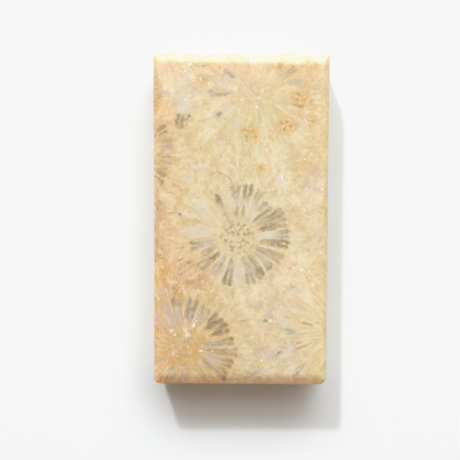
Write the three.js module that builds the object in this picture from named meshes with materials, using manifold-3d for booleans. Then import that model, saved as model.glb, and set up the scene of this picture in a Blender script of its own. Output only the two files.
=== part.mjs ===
// A polished block of fossil coral: a thick rectangular slab with bevelled edges, cut and ground by hand.
// Millimetres, +Z up. X is the width, Y the length and Z the thickness.
// The origin is the middle of the underside, which lies flat.

import * as THREE from 'three';
import { mergeVertices } from 'three/addons/utils/BufferGeometryUtils.js';
import Module from 'manifold-3d';

// Driving dimensions
const WIDTH = 40;
const LENGTH = 76;
const THICKNESS = 12;

// The bevels round the upper face. The two ends are ground wider than the two long sides.
const FAR_BEVEL = 2.0;
const NEAR_BEVEL = 2.2;
const SIDE_BEVEL = 1.2;
const BEVEL_DROP = 1.0;
const BEVEL_DRIFT = 0.3; // how much a bevel widens towards one of its corners

// The narrow bevel round the underside
const LOWER_BEVEL = 0.8;
const LOWER_RISE = 0.9;

// The upright corners, from crisp at the far end to worn at the near end
const FAR_LEFT_RADIUS = 0.9;
const FAR_RIGHT_RADIUS = 0.7;
const NEAR_LEFT_RADIUS = 1.5;
const NEAR_RIGHT_RADIUS = 2.0;

// A hand-ground wall isn't dead straight: its middle sits this much further in than its corners.
const WALL_BOW = 0.1;

// How finely the outline and the worn edges are divided
const CORNER_STEPS = 6;
const LONG_WALL_STEPS = 12;
const SHORT_WALL_STEPS = 6;
const WORN_EDGE_STEPS = 4;

// The share of a bevel that the wear along its two edges takes up
const WORN_SHARE = 0.3;

// Small open hollows lined with crystals, in clusters: middle, reach of the cluster and how many.
const HOLLOW_CLUSTERS = [
  { x: -10.8, y: 34.0, reach: 1.5, count: 3 },
  { x: -5.9, y: 31.0, reach: 1.4, count: 3 },
  { x: 3.3, y: 28.5, reach: 2.8, count: 6 },
  { x: 13.2, y: 28.0, reach: 1.4, count: 3 },
  { x: 9.4, y: 21.8, reach: 1.6, count: 3 },
  { x: 1.8, y: 19.5, reach: 1.7, count: 3 },
  { x: 15.4, y: 22.5, reach: 1.8, count: 3 },
  { x: 10.4, y: 9.4, reach: 1.0, count: 2 },
  { x: 15.2, y: 7.6, reach: 0.6, count: 1 },
  { x: -12.3, y: -25.6, reach: 1.5, count: 4 },
  { x: -15.7, y: -25.6, reach: 1.1, count: 2 },
  { x: -9.8, y: -22.1, reach: 2.0, count: 3 },
  { x: -7.9, y: -29.3, reach: 1.7, count: 3 },
  { x: -14.6, y: -30.0, reach: 1.4, count: 3 },
  { x: 10.2, y: -15.3, reach: 0.5, count: 1 },
  { x: 12.2, y: -10.3, reach: 0.5, count: 1 },
  { x: 15.0, y: -11.4, reach: 1.0, count: 2 },
];
const HOLLOW_RADIUS = 0.5; // mean half width of the largest hollow in a cluster
const HOLLOW_SPREAD = 0.4; // the share by which the others shrink
const HOLLOW_STRETCH = 1.22; // a hollow's half length over its mean half width
const HOLLOW_DEPTH = 0.12;
const GOLDEN_ANGLE = THREE.MathUtils.degToRad(137.5);

// Points closer together than this are one point
const MERGE_DISTANCE = 1e-4;

// Points along a worn corner: it leaves the line before the sharp corner and joins the line after it.
function wornCorner(before, corner, after, steps) {
  const curve = new THREE.QuadraticBezierCurve(before, corner, after);
  return curve.getPoints(steps);
}

// A closed outline clockwise round four corners, in plan, with the same count of points at any size.
function outline(corners, radii) {
  const wallSteps = [SHORT_WALL_STEPS, LONG_WALL_STEPS, SHORT_WALL_STEPS, LONG_WALL_STEPS];
  const points = [];
  corners.forEach((corner, i) => {
    const previous = corners[(i + 3) % 4];
    const next = corners[(i + 1) % 4];
    const back = previous.clone().sub(corner).normalize().multiplyScalar(radii[i]);
    const ahead = next.clone().sub(corner).normalize().multiplyScalar(radii[i]);
    const arcEnd = corner.clone().add(ahead);
    points.push(...wornCorner(corner.clone().add(back), corner, arcEnd, CORNER_STEPS));

    const nextBack = corner.clone().sub(next).normalize().multiplyScalar(radii[(i + 1) % 4]);
    const wallEnd = next.clone().add(nextBack);
    const along = next.clone().sub(corner).normalize();
    const inwards = new THREE.Vector2(along.y, -along.x);
    for (let step = 1; step < wallSteps[i]; step += 1) {
      const share = step / wallSteps[i];
      const bow = WALL_BOW * Math.sin(Math.PI * share);
      points.push(arcEnd.clone().lerp(wallEnd, share).addScaledVector(inwards, bow));
    }
  });
  return points;
}

// The four corners of an outline, clockwise from the far left one, each set in from the block's full size.
function cornersSetIn(farLeft, farRight, nearRight, nearLeft) {
  const x = WIDTH / 2;
  const y = LENGTH / 2;
  return [
    new THREE.Vector2(-x + farLeft[0], y - farLeft[1]),
    new THREE.Vector2(x - farRight[0], y - farRight[1]),
    new THREE.Vector2(x - nearRight[0], -y + nearRight[1]),
    new THREE.Vector2(-x + nearLeft[0], -y + nearLeft[1]),
  ];
}

// The outline a share of the way from one outline to another, lifted to a height.
function ring(outer, inner, share, height) {
  return outer.map((point, i) => {
    const flat = point.clone().lerp(inner[i], share);
    return new THREE.Vector3(flat.x, flat.y, height);
  });
}

// The side of the block as rings, from the underside up to the upper face.
function blockRings() {
  const radii = [FAR_LEFT_RADIUS, FAR_RIGHT_RADIUS, NEAR_RIGHT_RADIUS, NEAR_LEFT_RADIUS];
  const wall = outline(cornersSetIn([0, 0], [0, 0], [0, 0], [0, 0]), radii);
  const face = outline(
    cornersSetIn(
      [SIDE_BEVEL, FAR_BEVEL - BEVEL_DRIFT],
      [SIDE_BEVEL + BEVEL_DRIFT, FAR_BEVEL + BEVEL_DRIFT],
      [SIDE_BEVEL, NEAR_BEVEL],
      [SIDE_BEVEL, NEAR_BEVEL],
    ),
    radii,
  );
  const lowerInset = [LOWER_BEVEL, LOWER_BEVEL];
  const base = outline(cornersSetIn(lowerInset, lowerInset, lowerInset, lowerInset), radii);

  const lowerRings = bevelProfile(LOWER_RISE).map(({ share, drop }) => ring(wall, base, share, drop));
  const upperRings = bevelProfile(BEVEL_DROP).map(({ share, drop }) =>
    ring(wall, face, share, THICKNESS - drop),
  );
  return [...lowerRings.reverse(), ...upperRings];
}

// The section of a bevel, from the wall to the face beside it. Share runs from 0 at the wall to 1 at the
// face, and drop is the distance from the face's plane. Both edges of the bevel are worn.
function bevelProfile(rise) {
  const wornRise = rise * WORN_SHARE;
  const belowEdge = new THREE.Vector2(0, rise + wornRise);
  const lowEdge = new THREE.Vector2(0, rise);
  const flankStart = new THREE.Vector2(WORN_SHARE, rise - wornRise);
  const flankEnd = new THREE.Vector2(1 - WORN_SHARE, wornRise);
  const highEdge = new THREE.Vector2(1, 0);
  const beyondEdge = new THREE.Vector2(1 + WORN_SHARE, 0);
  const section = [
    ...wornCorner(belowEdge, lowEdge, flankStart, WORN_EDGE_STEPS),
    ...wornCorner(flankEnd, highEdge, beyondEdge, WORN_EDGE_STEPS),
  ];
  return section.map((point) => ({ share: point.x, drop: point.y }));
}

// One closed mesh from rings of points: bands of triangles between them and a flat fan over each end.
function loftedBlock(rings) {
  const count = rings[0].length;
  const positions = rings.flat().flatMap((point) => point.toArray());
  const triangles = [];
  for (let level = 0; level < rings.length - 1; level += 1) {
    for (let i = 0; i < count; i += 1) {
      const next = (i + 1) % count;
      const low = level * count;
      const high = low + count;
      triangles.push(low + i, high + i, low + next);
      triangles.push(low + next, high + i, high + next);
    }
  }
  const lastRing = (rings.length - 1) * count;
  const underside = rings.flat().length;
  const upperFace = underside + 1;
  positions.push(0, 0, rings[0][0].z);
  positions.push(0, 0, rings[rings.length - 1][0].z);
  for (let i = 0; i < count; i += 1) {
    const next = (i + 1) % count;
    triangles.push(underside, i, next);
    triangles.push(upperFace, lastRing + next, lastRing + i);
  }
  const geometry = new THREE.BufferGeometry();
  geometry.setAttribute('position', new THREE.Float32BufferAttribute(positions, 3));
  geometry.setIndex(triangles);
  return geometry;
}

// The shape that is taken out of the upper face for one hollow: a flattened, turned round lump.
function hollowCutter(x, y, radius, turn) {
  const cutter = new THREE.IcosahedronGeometry(1, 1);
  cutter.scale(radius * HOLLOW_STRETCH, radius / HOLLOW_STRETCH, HOLLOW_DEPTH);
  cutter.rotateZ(turn);
  cutter.translate(x, y, THICKNESS);
  return cutter;
}

// Every hollow, laid out in each cluster on a spiral so that neighbours stay apart.
function hollowCutters() {
  return HOLLOW_CLUSTERS.flatMap(({ x, y, reach, count }) =>
    Array.from({ length: count }, (_, i) => {
      const angle = i * GOLDEN_ANGLE;
      const distance = reach * Math.sqrt(i / count);
      const radius = HOLLOW_RADIUS * (1 - (HOLLOW_SPREAD * i) / count);
      return hollowCutter(x + distance * Math.cos(angle), y + distance * Math.sin(angle), radius, angle);
    }),
  );
}

// Turns a geometry into a solid that can be cut.
function toSolid(wasm, geometry) {
  const plain = geometry.clone();
  plain.deleteAttribute('normal');
  plain.deleteAttribute('uv');
  const merged = mergeVertices(plain, MERGE_DISTANCE);
  return new wasm.Manifold(
    new wasm.Mesh({
      numProp: 3,
      vertProperties: new Float32Array(merged.attributes.position.array),
      triVerts: new Uint32Array(merged.index.array),
    }),
  );
}

// Turns a cut solid back into a geometry with flat shading.
function toGeometry(solid) {
  const mesh = solid.getMesh();
  const geometry = new THREE.BufferGeometry();
  geometry.setAttribute('position', new THREE.Float32BufferAttribute(mesh.vertProperties, 3));
  geometry.setIndex(Array.from(mesh.triVerts));
  geometry.computeVertexNormals();
  return geometry;
}

// Warm cream stone with a polished but not glassy surface
const fossilCoral = new THREE.MeshStandardMaterial({
  color: 0xe8d4ac,
  roughness: 0.3,
  metalness: 0,
  flatShading: true,
});

const wasm = await Module();
wasm.setup();

let block = toSolid(wasm, loftedBlock(blockRings()));
hollowCutters().forEach((cutter) => {
  block = block.subtract(toSolid(wasm, cutter));
});

const coralSlab = new THREE.Mesh(toGeometry(block), fossilCoral);
coralSlab.name = 'coral_slab';

const object = new THREE.Group();
object.add(coralSlab);

export default object;
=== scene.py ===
import math
from collections import namedtuple

import bmesh
import bpy
import numpy as np
from mathutils import Color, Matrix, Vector


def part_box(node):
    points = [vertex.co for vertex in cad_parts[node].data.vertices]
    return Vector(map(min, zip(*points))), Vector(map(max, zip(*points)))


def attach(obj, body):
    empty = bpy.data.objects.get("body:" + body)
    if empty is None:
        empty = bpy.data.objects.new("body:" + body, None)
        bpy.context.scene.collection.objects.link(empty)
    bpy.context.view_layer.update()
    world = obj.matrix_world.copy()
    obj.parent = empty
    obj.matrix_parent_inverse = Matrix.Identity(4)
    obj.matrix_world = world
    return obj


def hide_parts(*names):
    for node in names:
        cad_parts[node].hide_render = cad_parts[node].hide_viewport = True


# A polished block of fossil coral, seen from above on a pale floor. Lengths are in millimetres until they
# are handed to Blender, which takes metres.

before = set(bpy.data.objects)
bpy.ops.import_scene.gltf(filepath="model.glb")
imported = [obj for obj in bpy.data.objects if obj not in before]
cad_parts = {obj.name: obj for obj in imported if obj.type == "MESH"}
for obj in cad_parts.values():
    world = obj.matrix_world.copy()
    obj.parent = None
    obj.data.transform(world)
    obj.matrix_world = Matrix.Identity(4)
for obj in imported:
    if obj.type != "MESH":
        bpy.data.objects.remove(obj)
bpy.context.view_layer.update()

MM = 0.001
NODE = "coral_slab"
NODE_LOW, NODE_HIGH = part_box(NODE)
HALF_WIDTH = NODE_HIGH.x / MM
HALF_LENGTH = NODE_HIGH.y / MM
THICKNESS = NODE_HIGH.z / MM

# The bevels and worn corners that the block was ground to
FAR_BEVEL = 2.0
NEAR_BEVEL = 2.2
SIDE_BEVEL = 1.2
BEVEL_DROP = 1.0
BEVEL_DRIFT = 0.3
LOWER_BEVEL = 0.8
LOWER_RISE = 0.9
WORN_SHARE = 0.3
WALL_BOW = 0.1
CORNER_RADII = {(-1, 1): 0.9, (1, 1): 0.7, (1, -1): 2.0, (-1, -1): 1.5}

# The mesh: the width of a cell on the upper face, and how far in from the edge the finer cells lie
CELL = 0.3
EDGE_STEPS = (0.0, 0.04, 0.1, 0.18, 0.28, 0.4, 0.55, 0.72, 0.92, 1.15, 1.4)
LOWER_BEVEL_STEPS = (0.0, 0.02, 0.07, 0.14, 0.22, 0.3, 0.5, 0.7, 0.85, 1.0, 1.15, 1.3, 3.0)
WALL_CELL = 0.4
WALL_EDGE = 0.5
POLISH_WAVE = 0.02
WALL_WAVE = 0.04

# Hollows lined with crystals, in clusters: middle, reach of the cluster, how many, and half width
HOLLOW_CLUSTERS = (
    (-10.8, 34.0, 1.5, 3, 0.5),
    (-5.9, 31.0, 1.4, 3, 0.5),
    (3.3, 28.5, 2.8, 6, 0.5),
    (13.2, 28.0, 1.4, 3, 0.5),
    (9.4, 21.8, 1.6, 3, 0.5),
    (1.8, 19.5, 1.7, 3, 0.5),
    (15.4, 22.5, 1.8, 3, 0.5),
    (10.4, 9.4, 1.0, 2, 0.5),
    (15.2, 7.6, 0.6, 1, 0.5),
    (-12.3, -25.6, 1.5, 4, 0.5),
    (-15.7, -25.6, 1.1, 2, 0.5),
    (-9.8, -22.1, 2.0, 3, 0.5),
    (-7.9, -29.3, 1.7, 3, 0.5),
    (-14.6, -30.0, 1.4, 3, 0.5),
    (10.2, -15.3, 0.5, 1, 0.5),
    (12.2, -10.3, 0.5, 1, 0.5),
    (15.0, -11.4, 1.0, 2, 0.5),
)
HOLLOW_SPREAD = 0.4
HOLLOW_STRETCH = 1.22
HOLLOW_DEPTH = 0.12
HOLLOW_FINENESS = 3
GOLDEN_ANGLE = math.radians(137.5)

# How bright a level surface looks under the lights beside its own red, green and blue
LIGHT_GAIN = (1.05, 1.02, 0.97)


# Mesh


def graded(half):
    """Places along one direction of the upper face: fine at both edges and even between them."""
    edge = np.array(EDGE_STEPS)
    inner = half - edge[-1]
    even = np.linspace(-inner, inner, round(2 * inner / CELL) + 1)
    return np.concatenate([-half + edge[:-1], even, (half - edge[:-1])[::-1]])


def rim_path(columns, rows):
    """The places round the edge of a grid, anticlockwise, as pairs of column and row."""
    near = [(i, 0) for i in range(columns - 1)]
    right = [(columns - 1, j) for j in range(rows - 1)]
    far = [(i, rows - 1) for i in range(columns - 1, 0, -1)]
    left = [(0, j) for j in range(rows - 1, 0, -1)]
    return near + right + far + left


def bevel_drop(share, rise):
    """How far a bevel lies below its face. Share is 0 at the outline and 1 where the flat face begins."""
    w = WORN_SHARE
    outer = np.sqrt(np.clip(share, 0, w) / w)
    outer_drop = (1 + w) * (1 - outer) ** 2 + 2 * outer * (1 - outer) + (1 - w) * outer ** 2
    inner = np.clip((share - 1 + w) / (2 * w), 0, 1)
    inner_drop = w * (1 - inner) ** 2
    flank_drop = 1 - share
    drop = np.where(share < w, outer_drop, np.where(share > 1 - w, inner_drop, flank_drop))
    return rise * drop


def rounded_plan(x, y):
    """Bends the straight grid of a rectangle to the block's outline: worn corners and bowed walls."""
    across = x / HALF_WIDTH
    along = y / HALF_LENGTH
    x = x - across * WALL_BOW * np.cos(along * math.pi / 2)
    y = y - along * WALL_BOW * np.cos(across * math.pi / 2)
    for (side, end), radius in CORNER_RADII.items():
        a = (side * x - HALF_WIDTH) / radius + 1
        b = (end * y - HALF_LENGTH) / radius + 1
        inside = (a > 0) & (b > 0)
        a, b = np.clip(a, 0, 1), np.clip(b, 0, 1)
        round_a = a * np.sqrt(1 - b ** 2 / 2)
        round_b = b * np.sqrt(1 - a ** 2 / 2)
        x = np.where(inside, side * (HALF_WIDTH + (round_a - 1) * radius), x)
        y = np.where(inside, end * (HALF_LENGTH + (round_b - 1) * radius), y)
    return x, y


def upper_share(x, y):
    """How far in from the outline a point of the upper face lies, as a share of the bevel beside it."""
    drift = BEVEL_DRIFT * x / HALF_WIDTH
    far = (HALF_LENGTH - y) / (FAR_BEVEL + drift)
    near = (HALF_LENGTH + y) / NEAR_BEVEL
    side = (HALF_WIDTH - np.abs(x)) / SIDE_BEVEL
    return np.minimum(np.minimum(far, near), side)


def waves(x, y, reach):
    """A slow unevenness between 0 and 1, as hand grinding leaves it."""
    return 0.5 + 0.25 * np.sin(x / reach + 1.3 * np.sin(y / reach)) + 0.25 * np.sin(y / reach * 0.7 + 2.0)


def hollows():
    """Middle, half width and turn of every hollow, laid out in each cluster on a spiral."""
    for x, y, reach, count, size in HOLLOW_CLUSTERS:
        for i in range(count):
            angle = i * GOLDEN_ANGLE
            distance = reach * math.sqrt(i / count)
            radius = size * (1 - HOLLOW_SPREAD * i / count)
            yield x + distance * math.cos(angle), y + distance * math.sin(angle), radius, angle


def hollow_share(x, y):
    """How deep in a hollow each point lies: 0 on the open face and 1 at the bottom."""
    deepest = np.zeros_like(x)
    for middle_x, middle_y, radius, turn in hollows():
        ahead = (x - middle_x) * math.cos(turn) + (y - middle_y) * math.sin(turn)
        aside = (y - middle_y) * math.cos(turn) - (x - middle_x) * math.sin(turn)
        ahead, aside = ahead / (radius * HOLLOW_STRETCH), aside / (radius / HOLLOW_STRETCH)
        around = np.arctan2(aside, ahead)
        ragged = 1 + 0.16 * np.sin(3 * around + turn) + 0.1 * np.sin(5 * around + 2 * turn)
        distance = np.hypot(ahead, aside) / ragged
        deepest = np.maximum(deepest, np.clip(1 - distance ** 2, 0, 1) ** 1.5)
    return deepest


def refine_hollows(mesh):
    """Divides the cells of the upper face that a hollow touches."""
    bm = bmesh.new()
    bm.from_mesh(mesh)
    places = [(x, y, radius * HOLLOW_STRETCH + CELL) for x, y, radius, _ in hollows()]
    edges = set()
    for face in bm.faces:
        middle = face.calc_center_median() / MM
        if face.normal.z < 0.5 or middle.z < THICKNESS - 0.01:
            continue
        if any(math.hypot(middle.x - x, middle.y - y) < reach for x, y, reach in places):
            edges.update(face.edges)
    bmesh.ops.subdivide_edges(bm, edges=list(edges), cuts=HOLLOW_FINENESS, use_grid_fill=True)
    bm.to_mesh(mesh)
    bm.free()


def block_mesh():
    """The block: a fine upper face, walls below its rim and a flat underside."""
    xs, ys = graded(HALF_WIDTH), graded(HALF_LENGTH)
    columns, rows = len(xs), len(ys)
    grid_x, grid_y = np.meshgrid(xs, ys, indexing="ij")
    upper = np.stack([grid_x.ravel(), grid_y.ravel(), np.full(columns * rows, THICKNESS)], axis=1)
    faces = [
        (i * rows + j, (i + 1) * rows + j, (i + 1) * rows + j + 1, i * rows + j + 1)
        for i in range(columns - 1)
        for j in range(rows - 1)
    ]
    rim = rim_path(columns, rows)
    rim_x = np.array([xs[i] for i, _ in rim])
    rim_y = np.array([ys[j] for _, j in rim])
    outline_x, outline_y = rounded_plan(rim_x, rim_y)

    loops = [upper]

    def add_loop(inset, height):
        loop_x = outline_x * (1 - inset / HALF_WIDTH)
        loop_y = outline_y * (1 - inset / HALF_LENGTH)
        loops.append(np.stack([loop_x, loop_y, np.full_like(outline_x, height)], axis=1))

    wall_top = THICKNESS - BEVEL_DROP * (1 + WORN_SHARE)
    wall_foot = LOWER_RISE * (1 + WORN_SHARE)
    wall_steps = round((wall_top - wall_foot) / WALL_CELL)
    for height in np.linspace(wall_top, wall_foot, wall_steps + 1)[1:-1]:
        fade = np.clip(min(wall_top - height, height - wall_foot) / WALL_EDGE, 0, 1)
        add_loop(fade * WALL_WAVE * waves(outline_x + outline_y, height, 5.0), height)
    for share in LOWER_BEVEL_STEPS:
        add_loop(share * LOWER_BEVEL, float(bevel_drop(np.array(share), LOWER_RISE)))

    above = [i * rows + j for i, j in rim]
    start = len(upper)
    for loop in loops[1:]:
        below = list(range(start, start + len(loop)))
        for k in range(len(rim)):
            following = (k + 1) % len(rim)
            faces.append((above[k], below[k], below[following], above[following]))
        above = below
        start += len(loop)
    faces.append(tuple(reversed(above)))

    mesh = bpy.data.meshes.new("coral_block")
    mesh.from_pydata((np.concatenate(loops) * MM).tolist(), [], faces)
    return mesh


def shape_upper_face(mesh):
    """Lowers the upper face to its bevels, its slow waves and its hollows, and keeps the hollows' depth."""
    points = np.empty(len(mesh.vertices) * 3)
    mesh.vertices.foreach_get("co", points)
    points = points.reshape(-1, 3) / MM
    upper = points[:, 2] > THICKNESS - 1e-4
    x, y = points[upper, 0], points[upper, 1]
    share = upper_share(x, y)
    plan_x, plan_y = rounded_plan(x, y)
    flat = np.clip(share - 1 - WORN_SHARE, 0, 1)
    depth = hollow_share(x, y)
    height = THICKNESS - bevel_drop(np.clip(share, 0, 1 + WORN_SHARE), BEVEL_DROP)
    height -= flat * POLISH_WAVE * waves(x, y, 4.0) + depth * HOLLOW_DEPTH
    points[upper] = np.stack([plan_x, plan_y, height], axis=1)
    mesh.vertices.foreach_set("co", (points * MM).ravel())

    hollow = np.zeros(len(points))
    hollow[upper] = depth
    mesh.attributes.new("hollow", "FLOAT", "POINT").data.foreach_set("value", hollow)
    mesh.shade_smooth()
    mesh.update()


# Shader tools


class Shader:
    """Adds nodes to one material. Inputs may be numbers, colours, vectors or other nodes' outputs."""

    def __init__(self, material):
        self.tree = material.node_tree

    def node(self, kind, *inputs, **settings):
        made = self.tree.nodes.new(kind)
        for name, value in settings.items():
            setattr(made, name, value)
        for slot, value in enumerate(inputs):
            self.put(made.inputs[slot], value)
        return made

    def put(self, socket, value):
        if isinstance(value, bpy.types.NodeSocket):
            self.tree.links.new(value, socket)
        elif value is not None:
            socket.default_value = value

    def math(self, operation, *values):
        return self.node("ShaderNodeMath", *values, operation=operation).outputs[0]

    def add(self, a, b):
        return self.math("ADD", a, b)

    def subtract(self, a, b):
        return self.math("SUBTRACT", a, b)

    def multiply(self, a, b):
        return self.math("MULTIPLY", a, b)

    def divide(self, a, b):
        return self.math("DIVIDE", a, b)

    def vector(self, operation, *values):
        return self.node("ShaderNodeVectorMath", *values, operation=operation).outputs[0]

    def scaled(self, vector, factor):
        made = self.node("ShaderNodeVectorMath", vector, operation="SCALE")
        self.put(made.inputs["Scale"], factor)
        return made.outputs[0]

    def length(self, vector):
        return self.node("ShaderNodeVectorMath", vector, operation="LENGTH").outputs["Value"]

    def dot(self, a, b):
        return self.node("ShaderNodeVectorMath", a, b, operation="DOT_PRODUCT").outputs["Value"]

    def parts(self, vector):
        return self.node("ShaderNodeSeparateXYZ", vector).outputs

    def channels(self, colour):
        return self.node("ShaderNodeSeparateColor", colour).outputs

    def joined(self, x, y, z=0.0):
        return self.node("ShaderNodeCombineXYZ", x, y, z).outputs[0]

    def rise(self, value, low, high):
        """A smooth step from 0 at low to 1 at high."""
        made = self.node("ShaderNodeMapRange", interpolation_type="SMOOTHSTEP")
        for slot, number in enumerate((value, low, high, 0.0, 1.0)):
            self.put(made.inputs[slot], number)
        return made.outputs[0]

    def fall(self, value, low, high):
        """A smooth step from 1 at low to 0 at high."""
        made = self.node("ShaderNodeMapRange", interpolation_type="SMOOTHSTEP")
        for slot, number in enumerate((value, low, high, 1.0, 0.0)):
            self.put(made.inputs[slot], number)
        return made.outputs[0]

    def ranged(self, value, low, high, new_low, new_high):
        made = self.node("ShaderNodeMapRange", interpolation_type="LINEAR")
        for slot, number in enumerate((value, low, high, new_low, new_high)):
            self.put(made.inputs[slot], number)
        return made.outputs[0]

    def noise(self, place, size, detail=2.0, roughness=0.5, swirl=0.0):
        """Soft noise whose lumps are about size across. Returns its value and its colour."""
        made = self.node("ShaderNodeTexNoise", noise_dimensions="3D")
        self.put(made.inputs["Vector"], place)
        made.inputs["Scale"].default_value = 1.0 / size
        made.inputs["Detail"].default_value = detail
        made.inputs["Roughness"].default_value = roughness
        made.inputs["Distortion"].default_value = swirl
        return made.outputs

    def cells(self, place, size, feature="F1", dimensions="3D"):
        """Irregular cells about size across."""
        made = self.node("ShaderNodeTexVoronoi", voronoi_dimensions=dimensions, feature=feature)
        self.put(made.inputs["Vector"], place)
        made.inputs["Scale"].default_value = 1.0 / size
        return made.outputs

    def mix(self, factor, below, above, blend="MIX"):
        made = self.node("ShaderNodeMix", data_type="RGBA", blend_type=blend)
        made.clamp_factor = True
        self.put(made.inputs[0], factor)
        self.put(made.inputs[6], below)
        self.put(made.inputs[7], above)
        return made.outputs[2]

    def between(self, factor, below, above):
        made = self.node("ShaderNodeMix", data_type="FLOAT")
        self.put(made.inputs[0], factor)
        self.put(made.inputs[2], below)
        self.put(made.inputs[3], above)
        return made.outputs[0]

    def vector_between(self, factor, below, above):
        made = self.node("ShaderNodeMix", data_type="VECTOR")
        self.put(made.inputs[0], factor)
        self.put(made.inputs[4], below)
        self.put(made.inputs[5], above)
        return made.outputs[1]


def tone(red, green, blue):
    """The surface colour that looks like this colour of the photograph under the lights of this scene."""
    shown = Color((red / 255, green / 255, blue / 255)).from_srgb_to_scene_linear()
    return (*[value / gain for value, gain in zip(shown, LIGHT_GAIN)], 1.0)


# Colours of the stone
CREAM = tone(226, 204, 165)
STRAW = tone(229, 208, 160)
HONEY = tone(220, 190, 134)
AMBER = tone(217, 177, 112)
SALMON = tone(208, 148, 88)
TAN = tone(192, 160, 119)
ROSE = tone(224, 202, 172)
# painted shade: a greyer tone laid on the brightly lit far bevel
SAGE_SHADE = tone(207, 200, 172)
MILK = tone(240, 225, 194)
MIST = tone(224, 213, 198)
LILAC = tone(205, 187, 172)
SMOKE = tone(181, 161, 132)
UMBER = tone(168, 141, 105)
OLIVE = tone(194, 171, 129)
SEPTUM = tone(230, 210, 170)
# pale crystal colour with a painted highlight, for the glints
CRYSTAL_AND_GLINT = tone(248, 240, 222)
PIT = tone(196, 160, 106)
GOLD = tone(240, 214, 152)


# A gap between two walls of a corallite: its angle anticlockwise from +X and its half angle in degrees,
# where it starts and ends in shares of the cup's radius, the colours of its inner part and its tip, how
# strongly they show, and how far its outer part is split into two fingers
Gap = namedtuple("Gap", "angle half start end fill tip strength split")


class Cup:
    """A corallite, the round cup that one polyp built, cut across."""

    def __init__(self, middle, radius, heart, dots, gaps):
        self.middle = middle
        self.radius = radius
        self.heart = heart
        self.dots = dots
        self.gaps = sorted((Gap(*gap) for gap in gaps), key=lambda gap: gap.angle)
        self.seam = (self.gaps[0].angle + self.gaps[-1].angle - 360) / 2

    def border(self, index):
        """The angle where a gap's share of the circle begins, half way from the gap before it."""
        if index == 0:
            return self.seam
        return (self.gaps[index - 1].angle + self.gaps[index].angle) / 2


CENTRE_CUP = Cup((-0.7, -3.6), 11.4, SEPTUM, 1.0, (
    (2, 7.0, 0.40, 1.06, MIST, SMOKE, 1.0, 1.0),
    (17, 7.5, 0.42, 1.02, UMBER, SMOKE, 1.0, 1.0),
    (30, 7.0, 0.42, 1.04, SMOKE, UMBER, 1.0, 1.0),
    (42, 4.0, 0.40, 0.92, UMBER, SMOKE, 1.0, 0.0),
    (51, 5.0, 0.62, 0.92, LILAC, SMOKE, 0.9, 0.0),
    (63, 6.0, 0.42, 1.06, MIST, OLIVE, 0.8, 1.0),
    (78, 6.5, 0.55, 1.08, MIST, UMBER, 0.9, 1.0),
    (92, 6.0, 0.60, 1.04, MIST, SMOKE, 0.9, 1.0),
    (104, 5.5, 0.50, 0.90, MIST, MIST, 0.6, 0.0),
    (117, 5.0, 0.28, 0.97, OLIVE, UMBER, 1.0, 0.0),
    (144, 9.0, 0.62, 1.08, MIST, MIST, 0.7, 0.0),
    (160, 6.0, 0.60, 1.0, MIST, OLIVE, 0.4, 0.0),
    (174, 8.5, 0.50, 1.08, MIST, MIST, 0.7, 0.0),
    (191, 6.0, 0.46, 0.97, LILAC, UMBER, 1.0, 1.0),
    (204, 7.0, 0.50, 0.84, OLIVE, OLIVE, 0.9, 0.0),
    (220, 7.0, 0.44, 1.02, UMBER, SMOKE, 1.0, 1.0),
    (237, 6.5, 0.42, 0.95, SMOKE, LILAC, 0.9, 0.0),
    (256, 7.0, 0.38, 1.02, SMOKE, UMBER, 1.0, 1.0),
    (271, 6.0, 0.40, 0.95, MIST, MIST, 0.8, 0.0),
    (287, 7.0, 0.38, 1.02, SMOKE, SMOKE, 0.9, 1.0),
    (301, 7.0, 0.40, 1.0, SMOKE, UMBER, 0.9, 0.0),
    (316, 6.5, 0.42, 0.96, LILAC, UMBER, 0.9, 0.0),
    (332, 7.0, 0.38, 1.04, SMOKE, OLIVE, 1.0, 1.0),
    (350, 6.5, 0.42, 1.06, SMOKE, UMBER, 1.0, 1.0),
))

NEAR_LEFT_CUP = Cup((-13.1, -29.5), 12.1, AMBER, 0.4, (
    (9, 6.0, 0.38, 0.99, SMOKE, UMBER, 1.0, 1.0),
    (26, 8.5, 0.58, 0.97, UMBER, UMBER, 1.2, 1.0),
    (42, 8.5, 0.55, 0.95, UMBER, UMBER, 1.2, 1.0),
    (62, 8.0, 0.50, 0.92, LILAC, SMOKE, 1.0, 1.0),
    (79, 8.0, 0.48, 0.98, SMOKE, SMOKE, 1.2, 1.0),
    (98, 7.5, 0.42, 0.98, LILAC, SMOKE, 1.0, 1.0),
    (112, 6.5, 0.40, 1.0, LILAC, LILAC, 1.0, 0.0),
    (128, 6.0, 0.40, 0.85, LILAC, LILAC, 0.8, 0.0),
    (156, 7.0, 0.25, 0.42, LILAC, LILAC, 0.5, 0.0),
    (185, 6.0, 0.4, 0.8, LILAC, HONEY, 0.4, 0.0),
    (211, 7.0, 0.34, 0.60, OLIVE, OLIVE, 0.8, 0.0),
    (242, 8.0, 0.36, 0.75, SMOKE, OLIVE, 0.8, 0.0),
    (273, 7.0, 0.32, 0.70, LILAC, OLIVE, 0.7, 0.0),
    (307, 6.5, 0.32, 0.80, OLIVE, SMOKE, 0.8, 0.0),
    (327, 6.5, 0.40, 1.0, SMOKE, UMBER, 1.0, 1.0),
    (341, 6.0, 0.38, 0.98, LILAC, UMBER, 1.0, 1.0),
    (355, 6.0, 0.40, 1.03, SMOKE, UMBER, 1.0, 1.0),
))

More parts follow.
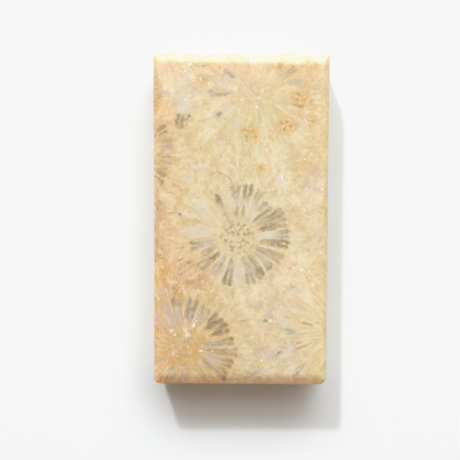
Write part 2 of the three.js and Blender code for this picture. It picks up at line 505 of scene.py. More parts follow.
FAR_CUP = Cup((3.1, 28.7), 11.4, STRAW, 0.3, (
    (16, 5.0, 0.65, 0.98, LILAC, LILAC, 0.9, 0.0),
    (32, 6.0, 0.55, 0.95, LILAC, SMOKE, 0.9, 1.0),
    (49, 6.0, 0.60, 0.82, OLIVE, OLIVE, 1.0, 0.0),
    (72, 6.0, 0.50, 0.80, ROSE, MIST, 0.6, 0.0),
    (95, 6.0, 0.50, 0.85, MIST, ROSE, 0.7, 0.0),
    (119, 5.0, 0.50, 0.75, ROSE, LILAC, 0.8, 0.0),
    (141, 5.0, 0.50, 0.80, SMOKE, SMOKE, 0.9, 0.0),
    (160, 6.0, 0.45, 0.90, MIST, ROSE, 0.8, 0.0),
    (179, 5.0, 0.45, 0.95, LILAC, SMOKE, 0.7, 0.0),
    (208, 6.0, 0.50, 0.95, MIST, LILAC, 0.8, 0.0),
    (235, 6.0, 0.50, 0.85, MIST, HONEY, 0.6, 0.0),
    (262, 6.0, 0.50, 0.85, HONEY, HONEY, 0.8, 0.0),
    (283, 4.5, 0.32, 0.58, LILAC, SMOKE, 1.0, 0.0),
    (303, 5.0, 0.50, 0.80, HONEY, MIST, 0.6, 0.0),
    (341, 3.5, 0.48, 0.68, LILAC, LILAC, 0.8, 0.0),
    (345, 3.3, 0.76, 1.0, UMBER, UMBER, 1.0, 0.0),
))

LEFT_CUP = Cup((-27.6, 15.6), 12.4, HONEY, 0.3, (
    (5, 3.0, 0.74, 1.0, LILAC, SMOKE, 1.0, 0.0),
    (11, 3.0, 0.76, 0.98, LILAC, SMOKE, 0.9, 0.0),
    (21, 3.0, 0.74, 0.97, OLIVE, UMBER, 1.0, 0.0),
    (28, 3.2, 0.74, 1.0, OLIVE, UMBER, 1.0, 0.0),
    (37, 3.0, 0.74, 1.0, OLIVE, OLIVE, 0.7, 0.0),
    (100, 6.0, 0.40, 1.0, SMOKE, UMBER, 0.9, 1.0),
    (140, 6.0, 0.40, 1.0, SMOKE, UMBER, 0.9, 1.0),
    (180, 6.0, 0.40, 1.0, LILAC, SMOKE, 0.9, 1.0),
    (220, 6.0, 0.40, 1.0, SMOKE, UMBER, 0.9, 1.0),
    (260, 6.0, 0.40, 1.0, SMOKE, UMBER, 0.9, 1.0),
    (305, 4.0, 0.70, 1.0, OLIVE, OLIVE, 0.5, 0.0),
    (325, 3.0, 0.74, 1.0, OLIVE, UMBER, 0.8, 0.0),
    (333, 3.2, 0.72, 0.96, OLIVE, UMBER, 0.9, 0.0),
    (340, 3.0, 0.74, 0.94, OLIVE, SMOKE, 0.8, 0.0),
    (349, 2.8, 0.78, 0.98, LILAC, SMOKE, 0.8, 0.0),
    (356, 3.0, 0.72, 0.96, LILAC, SMOKE, 1.0, 0.0),
))

NEAR_RIGHT_CUP = Cup((23.5, -25.4), 11.8, STRAW, 0.3, (
    (60, 6.0, 0.50, 0.95, MIST, LILAC, 0.4, 0.0),
    (100, 6.0, 0.50, 0.95, MIST, LILAC, 0.4, 0.0),
    (148, 3.5, 0.80, 1.0, MIST, LILAC, 0.4, 0.0),
    (160, 3.5, 0.40, 0.58, OLIVE, OLIVE, 0.8, 0.0),
    (166, 3.2, 0.60, 0.82, UMBER, UMBER, 0.9, 0.0),
    (181, 5.0, 0.90, 1.12, LILAC, SMOKE, 0.8, 0.0),
    (195, 2.5, 0.80, 0.93, UMBER, UMBER, 1.0, 0.0),
    (202, 2.6, 0.72, 1.06, UMBER, OLIVE, 0.9, 0.0),
    (213, 3.0, 0.80, 0.94, LILAC, LILAC, 0.8, 0.0),
    (221, 3.0, 0.95, 1.2, OLIVE, SMOKE, 0.6, 0.0),
    (241, 4.0, 0.60, 0.90, LILAC, OLIVE, 0.5, 0.0),
    (280, 6.0, 0.50, 0.95, SMOKE, UMBER, 0.8, 0.0),
    (320, 6.0, 0.50, 0.95, SMOKE, UMBER, 0.8, 0.0),
))

CUPS = (CENTRE_CUP, NEAR_LEFT_CUP, FAR_CUP, LEFT_CUP, NEAR_RIGHT_CUP)

# Where the fingers of a split gap begin, in shares of the cup's radius
FORK_START = 0.74

# How much a cup leans over as it goes down through the block
LEAN = (0.12, -0.07)

# Broad clouds of colour in the stone, and three strips of painted shade on the bevels: middle, half lengths along X
# and Y, colour and strength
CLOUDS = (
    (-15.5, 33.5, 4.5, 4.5, MILK, 0.6),
    (2.0, 33.5, 5.0, 4.5, MILK, 0.8),
    (0.5, 32.0, 5.0, 5.0, MIST, 0.6),
    (-12.8, 28.0, 3.5, 5.0, MIST, 0.7),
    (-4.5, 27.0, 5.0, 5.0, MIST, 0.5),
    (-8.0, 22.5, 4.0, 3.5, MILK, 0.6),
    (13.5, 28.5, 3.5, 3.5, HONEY, 0.9),
    (9.5, 34.0, 3.5, 2.5, AMBER, 0.8),
    (9.5, 21.5, 3.5, 3.5, HONEY, 0.6),
    (1.5, 20.5, 3.0, 3.0, HONEY, 0.6),
    (5.5, 17.0, 3.0, 3.5, MILK, 0.7),
    (14.0, 14.0, 4.0, 4.0, HONEY, 0.5),
    (17.5, 24.0, 3.0, 6.0, STRAW, 0.6),
    (-19.5, 16.0, 4.0, 9.0, TAN, 0.9),
    (-16.0, 3.0, 4.5, 8.0, HONEY, 0.8),
    (-15.0, -6.0, 5.0, 5.0, HONEY, 0.9),
    (-20.5, 3.0, 4.0, 6.0, TAN, 1.0),
    (-20.5, -7.0, 4.0, 6.0, TAN, 1.0),
    (-20.5, -17.0, 3.0, 6.0, TAN, 0.9),
    (-20.5, -29.0, 3.0, 8.0, TAN, 1.0),
    (-20.5, 30.0, 2.5, 8.0, TAN, 0.9),
    (-9.0, -8.0, 5.0, 5.5, AMBER, 0.8),
    (-1.5, 3.0, 5.0, 4.0, ROSE, 0.4),
    (-8.5, -27.0, 5.0, 6.0, AMBER, 0.7),
    (-5.0, -34.0, 9.0, 3.5, AMBER, 0.8),
    (-9.0, 14.0, 6.0, 6.0, STRAW, 0.5),
    (7.0, 10.0, 4.5, 6.5, MILK, 1.0),
    (10.5, 5.5, 3.0, 4.0, MILK, 0.8),
    (15.0, 3.0, 3.0, 6.0, MILK, 0.3),
    (17.0, 9.0, 3.0, 5.0, MIST, 0.4),
    (16.5, -3.0, 3.0, 6.0, ROSE, 0.4),
    (12.0, -9.5, 4.5, 5.0, MILK, 0.9),
    (-17.5, -11.5, 4.0, 3.0, AMBER, 0.9),
    (-13.5, -14.5, 7.0, 4.5, SALMON, 1.0),
    (-18.5, -19.0, 3.0, 4.0, TAN, 0.7),
    (-6.5, -17.5, 3.0, 3.5, HONEY, 0.8),
    (-3.0, -15.5, 3.5, 3.5, STRAW, 0.8),
    (1.5, -17.0, 4.5, 3.0, MILK, 0.7),
    (-3.0, -22.0, 3.0, 3.5, AMBER, 0.6),
    (1.5, -27.5, 4.0, 7.0, STRAW, 0.9),
    (-16.5, -29.0, 5.5, 9.0, AMBER, 0.9),
    (-12.0, -30.5, 5.0, 5.0, AMBER, 0.9),
    (7.5, -22.5, 3.5, 3.5, MIST, 0.5),
    (11.5, -26.5, 3.0, 4.5, LILAC, 0.4),
    (8.0, -31.0, 4.0, 4.0, ROSE, 0.7),
    (16.5, -19.5, 3.5, 8.0, MILK, 0.8),
    (17.5, -33.0, 3.0, 3.0, STRAW, 0.6),
    (-20.5, -28.0, 4.0, 9.0, UMBER, 0.35),
    (-16.0, -37.0, 8.0, 4.0, TAN, 0.8),
    # Painted shade: greys the brightly lit far bevel
    (0.0, 38.5, 26.0, 4.0, SAGE_SHADE, 0.6),
    (-13.0, -12.5, 5.0, 3.5, SALMON, 0.35),
    # Painted shade: darker strips along the left and near bevels
    (-20.5, 0.0, 2.5, 40.0, UMBER, 0.45),
    (0.0, -38.5, 26.0, 4.0, UMBER, 0.35),
)

# Strokes of colour that lie between the cups. A stroke is its middle, half length, half width and angle.
SHADE_STROKES = (
    (-14.4, 22.8, 1.5, 0.5, 80),
    (-13.4, 22.5, 1.5, 0.5, 76),
    (-11.7, 23.8, 0.4, 0.35, 0),
    (-12.3, 23.1, 0.35, 0.25, 0),
    (-5.0, 24.2, 0.6, 0.45, 10),
    (-13.9, 1.5, 0.7, 0.25, -8),
    (-13.9, -9.0, 0.8, 0.22, 30),
    (-11.9, -9.6, 0.6, 0.22, 25),
    (5.9, -22.9, 0.5, 0.35, 10),
    (9.1, -30.2, 0.6, 0.35, 40),
    (8.8, -5.3, 0.45, 0.4, 0),
    (-15.3, -18.4, 0.6, 0.4, 90),
)
PALE_BROWN_STROKES = (
    (-8.2, 31.9, 0.9, 0.22, -15),
    (-8.5, 34.9, 1.0, 0.28, 5),
    (-4.2, 28.6, 1.5, 0.4, 5),
    (-15.7, 1.8, 0.9, 0.25, 5),
    (-14.9, 8.0, 0.7, 0.3, -10),
    (-6.4, 10.8, 0.9, 0.14, 25),
    (-4.6, 10.8, 1.0, 0.14, -15),
    (-2.9, 9.8, 1.2, 0.15, -38),
    (-15.8, 6.4, 0.8, 0.2, -20),
    (0.5, -23.0, 1.2, 0.14, 10),
    (13.0, -35.3, 0.8, 0.5, 40),
    (3.0, -35.2, 1.3, 0.35, 0),
    (0.5, 2.2, 1.3, 0.45, 76),
    (-1.0, 2.2, 1.2, 0.45, 90),
)
LILAC_STROKES = (
    (14.8, 8.8, 0.9, 0.8, 0),
    (16.8, 11.6, 0.8, 0.7, 0),
    (18.0, -4.2, 0.6, 0.9, 0),
    (4.6, -19.3, 1.0, 0.8, 0),
    (6.9, -21.3, 1.3, 0.5, 90),
    (4.4, -30.1, 1.2, 1.0, 0),
    (3.7, -34.7, 1.3, 0.9, 0),
    (7.5, -31.0, 1.0, 0.9, 0),
    (-17.5, 29.0, 1.2, 0.8, 0),
    (-4.0, 33.0, 0.9, 0.4, 60),
)
MIST_STROKES = (
    (-13.2, 31.5, 1.3, 1.1, 80),
    (-12.9, 26.1, 1.8, 1.4, 80),
    (-9.4, 12.1, 0.8, 0.7, 0),
    (-11.7, 9.2, 1.0, 0.6, 0),
    (-2.6, 32.2, 1.3, 0.35, -35),
    (12.1, -16.4, 1.2, 0.8, 0),
    (10.2, -23.4, 1.0, 0.7, 0),
    (10.4, -21.4, 1.2, 0.6, 0),
    (11.0, -30.0, 1.1, 1.2, 0),
    (11.8, -33.2, 0.7, 0.9, 0),
    (9.0, 9.9, 0.9, 1.3, 0),
    (5.9, -3.3, 1.8, 0.5, 2),
    (7.6, -3.2, 0.6, 0.5, 2),
)
# Painted glints: pale crystals in the hollows with a painted highlight on them
GLINTS = (
    (-11.6, 35.2, 0.5, 0.3, 80),
    (-13.3, 34.9, 0.5, 0.17, -10),
    (-12.7, 33.6, 0.2, 0.4, 20),
    (-11.9, 33.1, 0.2, 0.4, -30),
    (-10.7, 31.7, 0.25, 0.17, 0),
    (-9.1, 32.0, 0.2, 0.2, 0),
    (-7.3, 31.0, 0.2, 0.35, 0),
    (-6.9, 30.5, 0.4, 0.17, 0),
    (-5.3, 30.3, 0.3, 0.15, 0),
    (-2.8, 30.2, 0.3, 0.2, 0),
    (-1.4, 30.0, 0.4, 0.22, -20),
    (-17.3, 30.1, 0.4, 0.22, -20),
    (-17.9, 28.4, 0.25, 0.25, 0),
    (-12.6, 27.4, 0.3, 0.25, 0),
    (0.0, 27.5, 0.15, 0.5, 0),
    (3.8, 28.0, 0.28, 0.25, 0),
    (3.5, 25.8, 0.25, 0.25, 0),
    (4.9, 29.4, 0.2, 0.35, 0),
    (9.1, 30.1, 0.3, 0.28, 0),
    (9.3, 9.9, 0.28, 0.75, 5),
    (14.5, 14.0, 0.4, 0.22, 0),
    (6.8, 8.8, 0.28, 0.3, 0),
    (14.9, 7.4, 0.35, 0.28, 0),
    (18.6, 7.2, 0.25, 0.25, 0),
    (-0.7, 13.1, 0.25, 0.25, 0),
    (-6.3, 17.3, 0.28, 0.22, 0),
    (-9.2, 12.4, 0.25, 0.25, 0),
    (12.2, -10.5, 0.45, 0.22, -35),
    (13.9, -11.3, 0.4, 0.28, 0),
    (15.7, -11.2, 0.3, 0.3, 0),
    (15.7, -13.0, 0.2, 0.28, 0),
    (10.1, -15.3, 0.25, 0.5, 0),
    (16.6, -14.4, 0.3, 0.25, 0),
    (12.1, -20.6, 0.13, 0.6, 0),
    (6.9, -22.9, 0.35, 0.25, 0),
    (9.2, -31.0, 0.17, 0.4, 0),
    (4.9, -32.2, 0.25, 0.25, 0),
    (-12.5, -25.0, 0.6, 0.55, 0),
    (-12.1, -26.0, 0.5, 0.7, 0),
    (-15.7, -25.3, 0.65, 0.3, -20),
    (-15.1, -26.4, 0.35, 0.28, 0),
    (-10.7, -24.1, 0.35, 0.45, 0),
    (-9.7, -21.9, 0.45, 0.2, 0),
    (-10.0, -23.1, 0.4, 0.22, 20),
    (-9.4, -21.2, 0.2, 0.3, 0),
    (-13.5, -29.2, 0.4, 0.2, 10),
    (-12.1, -29.1, 0.3, 0.22, 0),
    (-9.2, -29.9, 0.4, 0.28, 0),
    (-7.6, -30.1, 0.35, 0.17, 0),
    (-6.4, -30.0, 0.2, 0.22, 0),
    (-15.3, -30.8, 0.45, 0.3, 40),
)
PITS = (
    (12.9, 28.6, 0.5, 0.3, 0),
    (12.7, 27.6, 0.3, 0.35, 0),
    (14.3, 27.3, 0.35, 0.3, 0),
    (9.0, 22.1, 0.35, 0.4, 0),
    (10.3, 22.5, 0.3, 0.3, 0),
    (9.7, 20.9, 0.4, 0.3, 20),
    (11.1, 21.5, 0.3, 0.3, 0),
    (1.3, 19.3, 0.4, 0.35, 0),
    (2.5, 20.1, 0.3, 0.3, 0),
    (0.7, 20.5, 0.3, 0.25, 0),
    (3.2, 19.1, 0.3, 0.3, 0),
    (16.2, 22.6, 0.3, 0.3, 0),
    (4.5, 12.2, 0.3, 0.3, 0),
)


def nearest_stroke(shader, place, strokes):
    """How far each point is from the nearest stroke: 0 at a stroke's middle and 1 at its rim."""
    nearest = None
    for angle in sorted({stroke[4] for stroke in strokes}):
        cosine, sine = math.cos(math.radians(angle)), math.sin(math.radians(angle))
        turned = shader.joined(shader.dot(place, (cosine, sine, 0.0)), shader.dot(place, (-sine, cosine, 0.0)))
        for x, y, half_length, half_width, its_angle in strokes:
            if its_angle != angle:
                continue
            start = (-(x * cosine + y * sine) / half_length, (x * sine - y * cosine) / half_width, 0.0)
            scale = (1 / half_length, 1 / half_width, 0.0)
            share = shader.length(shader.vector("MULTIPLY_ADD", turned, scale, start))
            nearest = share if nearest is None else shader.math("MINIMUM", nearest, share)
    return nearest


def nearest_cup(shader, place):
    """The way from the nearest cup's middle in shares of its radius, its length, and the cup's number."""
    offset, nearest, number = None, None, None
    for index, cup in enumerate(CUPS):
        away = shader.scaled(shader.vector("SUBTRACT", place, (*cup.middle, 0.0)), 1 / cup.radius)
        share = shader.length(away)
        if index == 0:
            offset, nearest, number = away, share, 0.0
            continue
        nearer = shader.math("LESS_THAN", share, nearest)
        offset = shader.vector_between(nearer, offset, away)
        number = shader.between(nearer, number, float(index))
        nearest = shader.math("MINIMUM", share, nearest)
    return offset, nearest, number


def gap_ramp(shader, turn, cup, values):
    """Looks up four values of the gap that a direction falls in. Turn is 0 to 1 round from the seam."""
    ramp = shader.node("ShaderNodeValToRGB", turn)
    stops = ramp.color_ramp
    stops.interpolation = "CONSTANT"
    for index, gap in enumerate(cup.gaps):
        position = (cup.border(index) - cup.seam) / 360
        stop = stops.elements[index] if index < len(stops.elements) else stops.elements.new(position)
        stop.position = position
        stop.color = values(gap)
    return ramp.outputs


def gap_form(gap):
    return (gap.angle / 360, math.tan(math.radians(gap.half)), gap.start, gap.end)


def gap_fill(gap):
    return (*gap.fill[:3], gap.strength)


def gap_tip(gap):
    return (*gap.tip[:3], FORK_START if gap.split else 1.0)


def cup_values(shader, direction, number):
    """The form, fill and tip of the gap at each point, of whichever cup is nearest. Each is a colour and an
    alpha, because a ramp hands over four values at a time."""
    chosen = []
    for index, cup in enumerate(CUPS):
        turn = shader.math("FRACT", shader.subtract(direction, cup.seam / 360))
        looked_up = []
        for values in (gap_form, gap_fill, gap_tip):
            colour, alpha = gap_ramp(shader, turn, cup, values)
            looked_up.append((colour, alpha))
        looked_up.append((cup.heart, cup.dots))
        if index == 0:
            chosen = looked_up
            continue
        mine = shader.math("COMPARE", number, float(index), 0.5)
        chosen = [
            (shader.mix(mine, before[0], now[0]), shader.between(mine, before[1], now[1]))
            for before, now in zip(chosen, looked_up)
        ]
    return chosen


def swing(shader, colour, value, low, high, strength):
    """Shifts a colour towards low where a noise is weak and towards high where it is strong."""
    colour = shader.mix(shader.multiply(shader.fall(value, 0.34, 0.5), strength), colour, low)
    return shader.mix(shader.multiply(shader.rise(value, 0.5, 0.66), strength), colour, high)


def gap_room(shader, along, aside, slope, start, end, split, wobble):
    """How far inside its gap each point is, in shares of the cup's radius, and below 0 outside it. From
    the share of the radius given by split, the gap runs on as two fingers."""
    half_width = shader.subtract(shader.multiply(along, slope), 0.012)
    inner_taper = shader.multiply(shader.subtract(along, start), 0.6)
    outer_taper = shader.multiply(shader.subtract(end, along), 1.2)
    taper = shader.math("MINIMUM", inner_taper, outer_taper)
    room = shader.subtract(shader.math("MINIMUM", taper, half_width), aside)
    finger_axis = shader.multiply(half_width, 0.54)
    finger_half = shader.math("MINIMUM", outer_taper, shader.multiply(half_width, 0.46))
    from_axis = shader.math("ABSOLUTE", shader.subtract(aside, finger_axis))
    finger_room = shader.subtract(finger_half, from_axis)
    forked = shader.rise(along, split, shader.add(split, 0.1))
    return shader.add(shader.between(forked, room, finger_room), wobble)


def paint_cups(shader, ground, place, fine):
    """Lays the corallites over the ground colour: their walls, the gaps between them and their hearts."""
    offset, share, number = nearest_cup(shader, place)
    x, y, _ = shader.parts(offset)
    direction = shader.divide(shader.math("ARCTAN2", y, x), 2 * math.pi)
    (form, end), (fill, strength), (tip, split), (heart, dots) = cup_values(shader, direction, number)
    middle, slope, start = shader.channels(form)

    away = shader.math("WRAP", shader.subtract(direction, middle), 0.5, -0.5)
    angle = shader.multiply(away, 2 * math.pi)
    aside = shader.math("ABSOLUTE", shader.multiply(share, shader.math("SINE", angle)))
    along = shader.multiply(share, shader.math("COSINE", angle))

    ray = shader.vector("NORMALIZE", offset)
    outwards = shader.joined(0.0, 0.0, shader.multiply(share, 3.0))
    streaks = shader.noise(shader.vector("ADD", shader.scaled(ray, 13.0), outwards), 1.0, 2.0)[0]
    broad = shader.noise(shader.vector("ADD", shader.scaled(ray, 5.0), outwards), 1.0, 2.0, swirl=0.8)[0]
    wobble = shader.multiply(shader.subtract(fine, 0.5), 0.06)
    room = gap_room(shader, along, aside, slope, start, end, split, wobble)

    ground = swing(shader, ground, broad, HONEY, MILK, 0.35)
    walls = shader.multiply(shader.rise(share, 0.2, 0.4), shader.fall(share, 0.9, 1.15))
    ground = shader.mix(shader.multiply(walls, 0.3), ground, heart)
    costae = shader.multiply(shader.fall(share, 0.9, 1.9), shader.rise(share, 0.3, 0.5))
    ground = shader.mix(shader.multiply(shader.multiply(shader.rise(streaks, 0.5, 0.66), costae), 0.4), ground, MILK)
    ground = shader.mix(shader.multiply(shader.multiply(shader.fall(streaks, 0.34, 0.48), costae), 0.2), ground, OLIVE)

    patches = shader.noise(place, 1.5, 2.0, swirl=0.6)[0]
    inside = shader.mix(shader.rise(along, 0.62, 0.9), fill, tip)
    inside = shader.mix(shader.multiply(shader.rise(streaks, 0.48, 0.62), 0.35), inside, MIST)
    strength = shader.multiply(strength, shader.ranged(patches, 0.3, 0.6, 1.1, 0.55))
    colour = shader.mix(shader.multiply(shader.rise(room, -0.03, 0.03), strength), ground, inside)

    colour = shader.mix(shader.multiply(shader.fall(share, 0.2, 0.5), 0.4), colour, heart)
    apart = shader.add(shader.cells(place, 1.25, dimensions="2D")[0], shader.ranged(fine, 0.3, 0.7, -0.3, 0.4))
    specks = shader.multiply(shader.fall(apart, 0.0, 0.65), shader.fall(share, 0.24, 0.42))
    return shader.mix(shader.multiply(specks, shader.multiply(dots, 0.65)), colour, UMBER)


def paint_ground(shader, place):
    """The stone between the cups: broad clouds of colour, and painted shade along the far, left and near bevels."""
    drift = shader.noise(place, 9.0, 2.0)[0]
    colour = shader.mix(shader.rise(drift, 0.4, 0.6), CREAM, STRAW)
    ragged = shader.vector("SUBTRACT", shader.noise(place, 3.5, 3.0)[1], (0.5, 0.5, 0.5))
    bent = shader.vector("ADD", place, shader.scaled(ragged, 5.0))
    for x, y, reach_x, reach_y, hue, strength in CLOUDS:
        away = shader.vector("SUBTRACT", bent, (x, y, 0.0))
        share = shader.length(shader.vector("MULTIPLY", away, (1 / reach_x, 1 / reach_y, 0.0)))
        colour = shader.mix(shader.multiply(shader.fall(share, 0.3, 1.3), strength), colour, hue)
    return colour


def paint_patchwork(shader, colour, place):
    """Tints the stone in patches and adds the fine pale and dark grain."""
    apart = shader.vector("ADD", place, (40.0, 0.0, 0.0))
    colour = swing(shader, colour, shader.noise(place, 3.4, 1.0, swirl=0.8)[0], HONEY, ROSE, 0.45)
    colour = swing(shader, colour, shader.noise(apart, 2.0, 1.0, swirl=1.0)[0], AMBER, MILK, 0.3)
    colour = swing(shader, colour, shader.noise(apart, 1.1, 1.0, swirl=0.8)[0], TAN, MILK, 0.12)
    colour = swing(shader, colour, shader.noise(place, 0.5, 1.0)[0], OLIVE, MILK, 0.18)
    for shift, size in ((apart, 1.3), (place, 2.4)):
        threads = shader.noise(shift, size, 1.0, swirl=1.5)[0]
        thread = shader.fall(shader.math("ABSOLUTE", shader.subtract(threads, 0.5)), 0.01, 0.045)
        broken = shader.rise(shader.noise(shift, size * 0.7, 1.0)[0], 0.5, 0.62)
        colour = shader.mix(shader.multiply(shader.multiply(thread, broken), 0.6), colour, MILK)
    return colour


def paint_marks(shader, colour, place):
    """The stains, patches, pits and crystals that lie between the cups; the crystals carry a painted highlight as
    glints.
    """
    marks = (
        (LILAC, 0.65, 0.7, LILAC_STROKES),
        (MIST, 0.7, 0.7, MIST_STROKES),
        (OLIVE, 0.8, 0.6, PALE_BROWN_STROKES),
        (UMBER, 0.8, 0.8, SHADE_STROKES),
    )
    broken = shader.noise(place, 0.9, 2.0)[0]
    for hue, strength, softness, strokes in marks:
        share = shader.add(nearest_stroke(shader, place, strokes), shader.ranged(broken, 0.3, 0.7, -0.6, 0.7))
        inside = shader.fall(share, 1 - softness, 1 + softness)
        colour = shader.mix(shader.multiply(inside, strength), colour, hue)
    pit = shader.add(nearest_stroke(shader, place, PITS), shader.ranged(broken, 0.3, 0.7, -0.5, 0.5))
    curls = shader.math("ABSOLUTE", shader.subtract(shader.noise(place, 0.9, 1.0, swirl=1.0)[0], 0.5))
    curl = shader.fall(curls, 0.02, 0.07)
    colour = shader.mix(shader.multiply(shader.fall(pit, 2.0, 5.5), 0.6), colour, AMBER)
    colour = shader.mix(shader.multiply(shader.multiply(shader.fall(pit, 2.5, 4.5), curl), 0.8), colour, GOLD)
    colour = shader.mix(shader.multiply(shader.fall(pit, 0.6, 1.5), 0.7), colour, PIT)
    # Painted highlight: the glints are bright crystal specks with curls and a faint lilac halo round them
    glint = shader.add(nearest_stroke(shader, place, GLINTS), shader.ranged(broken, 0.35, 0.65, -0.4, 0.8))
    colour = shader.mix(shader.multiply(shader.fall(glint, 1.2, 2.4), 0.25), colour, LILAC)
    colour = shader.mix(shader.multiply(shader.multiply(shader.fall(glint, 1.1, 2.1), curl), 0.55), colour, CRYSTAL_AND_GLINT)
    return shader.mix(shader.multiply(shader.fall(glint, 0.5, 1.2), 0.8), colour, CRYSTAL_AND_GLINT)


# How far light travels inside the stone, in millimetres, and the share of that for each colour
GLOW_REACH = 7.0
GLOW_COLOUR = (1.0, 0.42, 0.16)


def coral_material():
    material = bpy.data.materials.new("fossil_coral")
    material.use_nodes = True
    material.node_tree.nodes.clear()
    shader = Shader(material)

    place = shader.scaled(shader.node("ShaderNodeTexCoord").outputs["Object"], 1 / MM)
    depth = shader.subtract(THICKNESS, shader.parts(place)[2])
    slow = shader.vector("SUBTRACT", shader.noise(place, 6.0, 1.0)[1], (0.5, 0.5, 0.5))
    quick = shader.vector("SUBTRACT", shader.noise(place, 1.2, 2.0)[1], (0.5, 0.5, 0.5))
    bend = shader.vector("ADD", shader.scaled(slow, 1.2), shader.scaled(quick, 0.6))
    bent = shader.parts(shader.vector("ADD", place, bend))
    across = shader.joined(
        shader.subtract(bent[0], shader.multiply(depth, LEAN[0])),
        shader.subtract(bent[1], shader.multiply(depth, LEAN[1])),
    )
    ragged = shader.parts(shader.vector("ADD", place, shader.scaled(quick, 0.8)))
    fine = shader.noise(place, 0.7, 3.0)[0]

    colour = paint_ground(shader, across)
    colour = paint_patchwork(shader, colour, place)
    colour = paint_cups(shader, colour, across, fine)
    colour = paint_marks(shader, colour, shader.joined(ragged[0], ragged[1]))

    # Painted shade: the far wall below its bevel is darkened towards TAN, where the far lights fall hardest on it
    far_end = shader.rise(shader.parts(place)[1], HALF_LENGTH - 0.8, HALF_LENGTH - 0.1)
    below_bevel = shader.rise(depth, BEVEL_DROP, 3 * BEVEL_DROP)
    far_wall_shade = shader.multiply(shader.multiply(far_end, below_bevel), 0.55)
    colour = shader.mix(far_wall_shade, colour, TAN, blend="MULTIPLY")

    hollow = shader.node("ShaderNodeAttribute", attribute_name="hollow").outputs["Fac"]
    colour = shader.mix(shader.multiply(shader.rise(hollow, 0.0, 0.5), 0.5), colour, ROSE)

    bump = shader.node("ShaderNodeBump")
    bump.inputs["Strength"].default_value = 0.1
    bump.inputs["Distance"].default_value = 0.02 * MM
    shader.put(bump.inputs["Height"], fine)

    surface = shader.node("ShaderNodeBsdfPrincipled")
    shader.put(surface.inputs["Base Color"], colour)
    polish = shader.noise(place, 3.0, 1.0)[0]
    shader.put(surface.inputs["Roughness"], shader.ranged(polish, 0.3, 0.7, 0.2, 0.26))
    shader.put(surface.inputs["Normal"], bump.outputs[0])
    surface.inputs["IOR"].default_value = 1.54
    surface.inputs["Specular IOR Level"].default_value = 0.2
    surface.inputs["Subsurface Weight"].default_value = 1.0
    surface.inputs["Subsurface Radius"].default_value = GLOW_COLOUR
    surface.inputs["Subsurface Scale"].default_value = GLOW_REACH * MM
    output = shader.node("ShaderNodeOutputMaterial")
    shader.put(output.inputs["Surface"], surface.outputs[0])
    return material


# Scene

CAMERA_PLACE = (-0.95, 8.53, 189.4)
CAMERA_TILT = (-3.416, 0.501, 0.191)
HALF_PICTURE = 230
FOCAL_PIXELS = 779

# Soft lights: name, azimuth clockwise from +Y and elevation in degrees, width, height, level and colour.
# The level is what a light adds to a white level surface.
COOL = (0.93, 1.0, 1.05)
WARM = (1.0, 0.79, 0.64)
LIGHTS = (
    ("key", -19.2, 36.7, 0.1, 0.1, 0.24, COOL),
    ("far", 0.0, 36.0, 2.0, 0.6, 0.36, COOL),
    ("far_low", 0.0, 28.0, 1.6, 0.4, 0.12, COOL),
    ("side", 30.0, 45.0, 1.6, 1.0, 0.32, COOL),
    ("left", -30.0, 35.0, 1.6, 1.0, 0.08, COOL),
    ("right", 60.0, 45.0, 1.6, 1.0, 0.055, WARM),
    ("near_left", -140.0, 10.0, 1.2, 0.3, 0.055, WARM),
    ("top", 0.0, 89.0, 3.0, 3.0, 0.205, WARM),
)
LIGHT_DISTANCE = 1.8
WORLD_LEVEL = 0.003
BACKDROP = (0.93, 0.93, 0.93, 1.0)
FLOOR_REACH = 1.0

# How bright light is shown as: pairs of its level and the level shown, and the level shown as white
HIGHLIGHTS = ((0.7, 0.7), (0.78, 0.78), (0.98, 0.92), (1.15, 0.93), (1.3, 0.95), (1.45, 0.965))
BRIGHTEST = 1.6


def add_camera():
    data = bpy.data.cameras.new("camera")
    data.angle = 2 * math.atan(HALF_PICTURE / FOCAL_PIXELS)
    data.clip_start = 0.01
    camera = bpy.data.objects.new("camera", data)
    camera.location = Vector(CAMERA_PLACE) * MM
    camera.rotation_euler = [math.radians(angle) for angle in CAMERA_TILT]
    bpy.context.scene.collection.objects.link(camera)
    bpy.context.scene.camera = camera


def add_floor():
    mesh = bpy.data.meshes.new("floor")
    corners = [(x * FLOOR_REACH, y * FLOOR_REACH, 0) for x, y in ((-1, -1), (1, -1), (1, 1), (-1, 1))]
    mesh.from_pydata(corners, [], [(0, 1, 2, 3)])
    floor = bpy.data.objects.new("floor", mesh)
    material = bpy.data.materials.new("pale_floor")
    material.use_nodes = True
    surface = material.node_tree.nodes["Principled BSDF"]
    surface.inputs["Base Color"].default_value = (0.9, 0.9, 0.9, 1.0)
    surface.inputs["Roughness"].default_value = 0.9
    mesh.materials.append(material)
    bpy.context.scene.collection.objects.link(floor)


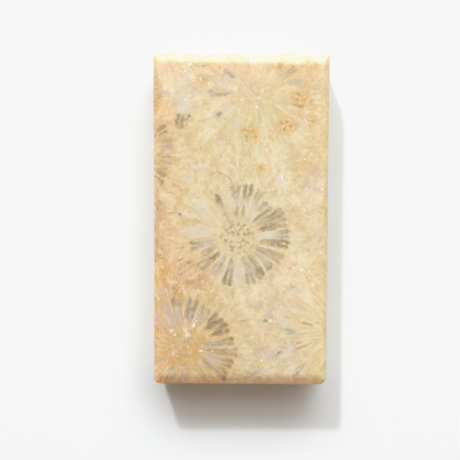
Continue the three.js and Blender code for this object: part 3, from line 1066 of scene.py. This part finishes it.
def add_area_light(name, azimuth, elevation, width, height, level, colour):
    data = bpy.data.lights.new(name, "AREA")
    data.shape = "RECTANGLE"
    data.size = width
    data.size_y = height
    data.color = colour
    towards = Vector((
        math.sin(math.radians(azimuth)) * math.cos(math.radians(elevation)),
        math.cos(math.radians(azimuth)) * math.cos(math.radians(elevation)),
        math.sin(math.radians(elevation)),
    ))
    data.energy = level * math.pi ** 2 * LIGHT_DISTANCE ** 2 / towards.z
    light = bpy.data.objects.new(name, data)
    light.location = towards * LIGHT_DISTANCE
    light.rotation_euler = towards.to_track_quat("Z", "Y").to_euler()
    light.visible_camera = False
    bpy.context.scene.collection.objects.link(light)


def add_world(level):
    """A pale backdrop beyond the floor, which gives the stone next to no light."""
    world = bpy.data.worlds.new("studio")
    world.use_nodes = True
    tree = world.node_tree
    glow = tree.nodes["Background"]
    glow.inputs["Color"].default_value = (1.0, 1.0, 1.0, 1.0)
    glow.inputs["Strength"].default_value = level
    backdrop = tree.nodes.new("ShaderNodeBackground")
    backdrop.inputs["Color"].default_value = BACKDROP
    choice = tree.nodes.new("ShaderNodeMixShader")
    seen = tree.nodes.new("ShaderNodeLightPath")
    tree.links.new(seen.outputs["Is Camera Ray"], choice.inputs[0])
    tree.links.new(glow.outputs[0], choice.inputs[1])
    tree.links.new(backdrop.outputs[0], choice.inputs[2])
    tree.links.new(choice.outputs[0], tree.nodes["World Output"].inputs["Surface"])
    bpy.context.scene.world = world


def soften_highlights():
    """Shows the light levels as they are up to the shoulder, and rolls off what is brighter, as film does."""
    view = bpy.context.scene.view_settings
    view.view_transform = "Standard"
    view.use_curve_mapping = True
    mapping = view.curve_mapping
    mapping.white_level = (BRIGHTEST, BRIGHTEST, BRIGHTEST)
    curve = mapping.curves[3]
    start, end = curve.points
    start.location = (0.0, 0.0)
    start.handle_type = "VECTOR"
    end.location = (1.0, 1.0)
    for level, shown in HIGHLIGHTS:
        curve.points.new(level / BRIGHTEST, shown)
    mapping.update()


def add_block():
    mesh = block_mesh()
    refine_hollows(mesh)
    shape_upper_face(mesh)
    mesh.materials.append(coral_material())
    block = bpy.data.objects.new("coral_block", mesh)
    bpy.context.scene.collection.objects.link(block)
    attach(block, "root")
    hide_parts(NODE)


add_camera()
add_floor()
for light in LIGHTS:
    add_area_light(*light)
add_world(WORLD_LEVEL)
add_block()
soften_highlights()
